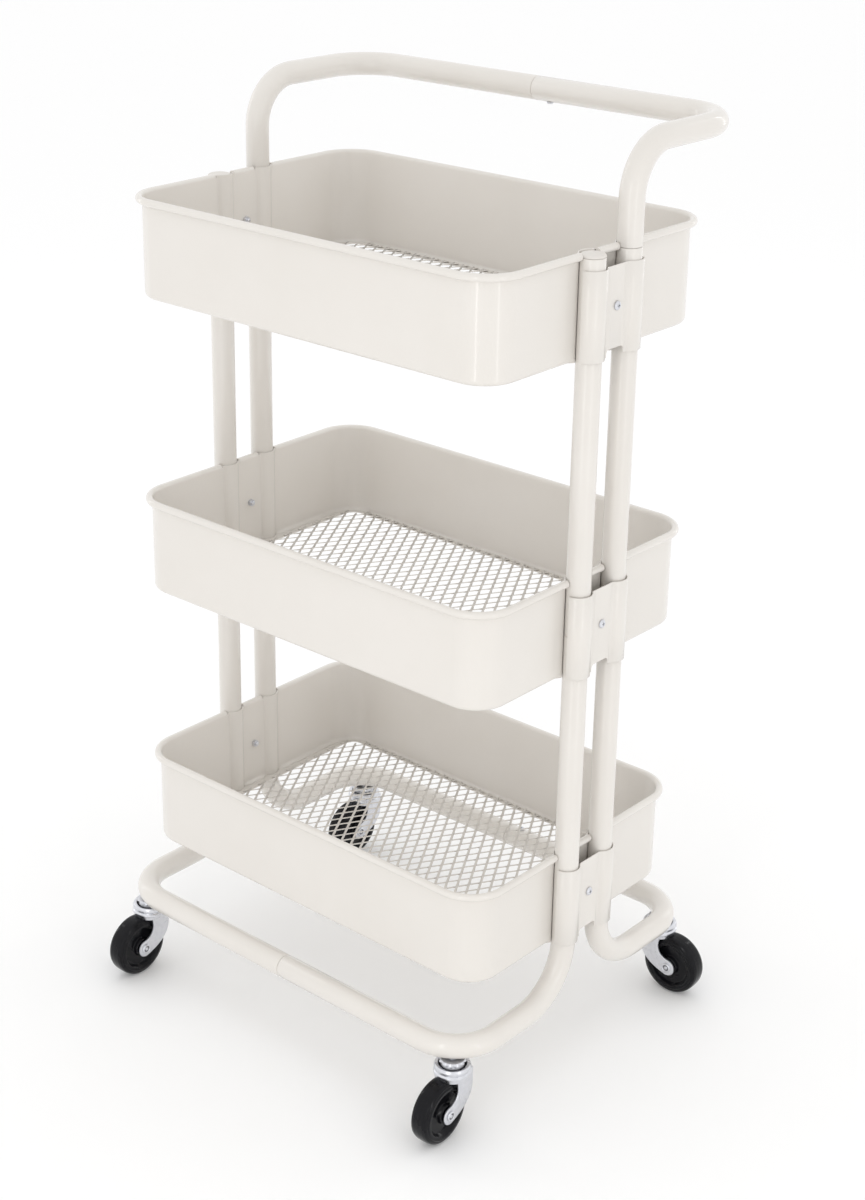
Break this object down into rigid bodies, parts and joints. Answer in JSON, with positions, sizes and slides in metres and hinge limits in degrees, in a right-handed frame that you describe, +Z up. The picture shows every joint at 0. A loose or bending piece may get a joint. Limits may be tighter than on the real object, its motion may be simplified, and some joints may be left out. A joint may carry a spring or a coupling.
{
  "type": "rolling utility cart",
  "caption": "Slim rolling storage cart of cream powder-coated steel: open baskets with mesh floors on a bent tube frame with a push handle and swivel casters.",
  "frame": {"origin": "on the floor, under the middle of the footprint with the casters as they stand at rest", "axes": "+Z up; X along the long side of the baskets; the push handle stands over the +Y side"},
  "size_m": [0.4768, 0.3916, 0.875],
  "materials": {
    "cream_powder_coat": "satin powder coat on mild steel",
    "cream_plastic": "matt moulded plastic",
    "zinc_plate": "bright zinc plate on steel",
    "black_nylon": "glossy black moulded nylon"
  },
  "bodies": {
    "cart_frame": {"basket_bottom": "cream_powder_coat", "basket_middle": "cream_powder_coat", "basket_top": "cream_powder_coat", "cap_left": "cream_plastic", "cap_right": "cream_plastic", "caster_stem_front_left": "zinc_plate", "caster_stem_front_right": "zinc_plate", "caster_stem_rear_left": "zinc_plate", "caster_stem_rear_right": "zinc_plate", "clamp_bottom_left": "cream_powder_coat", "clamp_bottom_right": "cream_powder_coat", "clamp_middle_left": "cream_powder_coat", "clamp_middle_right": "cream_powder_coat", "clamp_nut_bottom_left": "zinc_plate", "clamp_nut_bottom_right": "zinc_plate", "clamp_nut_middle_left": "zinc_plate", "clamp_nut_middle_right": "zinc_plate", "clamp_nut_top_left": "zinc_plate", "clamp_nut_top_right": "zinc_plate", "clamp_screw_bottom_left": "zinc_plate", "clamp_screw_bottom_right": "zinc_plate", "clamp_screw_middle_left": "zinc_plate", "clamp_screw_middle_right": "zinc_plate", "clamp_screw_top_left": "zinc_plate", "clamp_screw_top_right": "zinc_plate", "clamp_top_left": "cream_powder_coat", "clamp_top_right": "cream_powder_coat", "front_bar_screw": "zinc_plate", "front_bar_sleeve": "zinc_plate", "handle_left": "cream_powder_coat", "handle_right": "cream_powder_coat", "handle_screw": "zinc_plate", "handle_sleeve": "zinc_plate", "handle_spigot_left": "zinc_plate", "handle_spigot_right": "zinc_plate", "lower_tube_front_left": "cream_powder_coat", "lower_tube_front_right": "cream_powder_coat", "lower_tube_rear_left": "cream_powder_coat", "lower_tube_rear_right": "cream_powder_coat", "mesh_floor_bottom": "cream_powder_coat", "mesh_floor_middle": "cream_powder_coat", "mesh_floor_top": "cream_powder_coat", "rear_bar_screw": "zinc_plate", "rear_bar_sleeve": "zinc_plate", "upright_front_left": "cream_powder_coat", "upright_front_right": "cream_powder_coat", "upright_rear_left": "cream_powder_coat", "upright_rear_right": "cream_powder_coat"},
    "swivel_front_right": {"caster_fork_front_right": "zinc_plate", "caster_axle_front_right": "zinc_plate"},
    "wheel_front_right": {"wheel_front_right": "black_nylon"},
    "swivel_front_left": {"caster_fork_front_left": "zinc_plate", "caster_axle_front_left": "zinc_plate"},
    "wheel_front_left": {"wheel_front_left": "black_nylon"},
    "swivel_rear_right": {"caster_fork_rear_right": "zinc_plate", "caster_axle_rear_right": "zinc_plate"},
    "wheel_rear_right": {"wheel_rear_right": "black_nylon"},
    "swivel_rear_left": {"caster_fork_rear_left": "zinc_plate", "caster_axle_rear_left": "zinc_plate"},
    "wheel_rear_left": {"wheel_rear_left": "black_nylon"}
  },
  "joints": [
    {"name": "swivel_front_right", "type": "hinge", "parent": "cart_frame", "child": "swivel_front_right", "pos_m": [0.18923, -0.14662, 0.0675], "axis": [0, 0, 1], "continuous": true},
    {"name": "spin_front_right", "type": "hinge", "parent": "swivel_front_right", "child": "wheel_front_right", "pos_m": [0.18989, -0.16561, 0.03], "axis": [0.9994, 0.0349, 0], "continuous": true},
    {"name": "swivel_front_left", "type": "hinge", "parent": "cart_frame", "child": "swivel_front_left", "pos_m": [-0.20818, -0.14662, 0.0675], "axis": [0, 0, 1], "continuous": true},
    {"name": "spin_front_left", "type": "hinge", "parent": "swivel_front_left", "child": "wheel_front_left", "pos_m": [-0.20818, -0.16562, 0.03], "axis": [1, 0, 0], "continuous": true},
    {"name": "swivel_rear_right", "type": "hinge", "parent": "cart_frame", "child": "swivel_rear_right", "pos_m": [0.18923, 0.1703, 0.0675], "axis": [0, 0, 1], "continuous": true},
    {"name": "spin_rear_right", "type": "hinge", "parent": "swivel_rear_right", "child": "wheel_rear_right", "pos_m": [0.20822, 0.17096, 0.03], "axis": [-0.0349, 0.9994, 0], "continuous": true},
    {"name": "swivel_rear_left", "type": "hinge", "parent": "cart_frame", "child": "swivel_rear_left", "pos_m": [-0.20818, 0.1703, 0.0675], "axis": [0, 0, 1], "continuous": true},
    {"name": "spin_rear_left", "type": "hinge", "parent": "swivel_rear_left", "child": "wheel_rear_left", "pos_m": [-0.20884, 0.15131, 0.03], "axis": [0.9994, -0.0349, 0], "continuous": true}
  ]
}
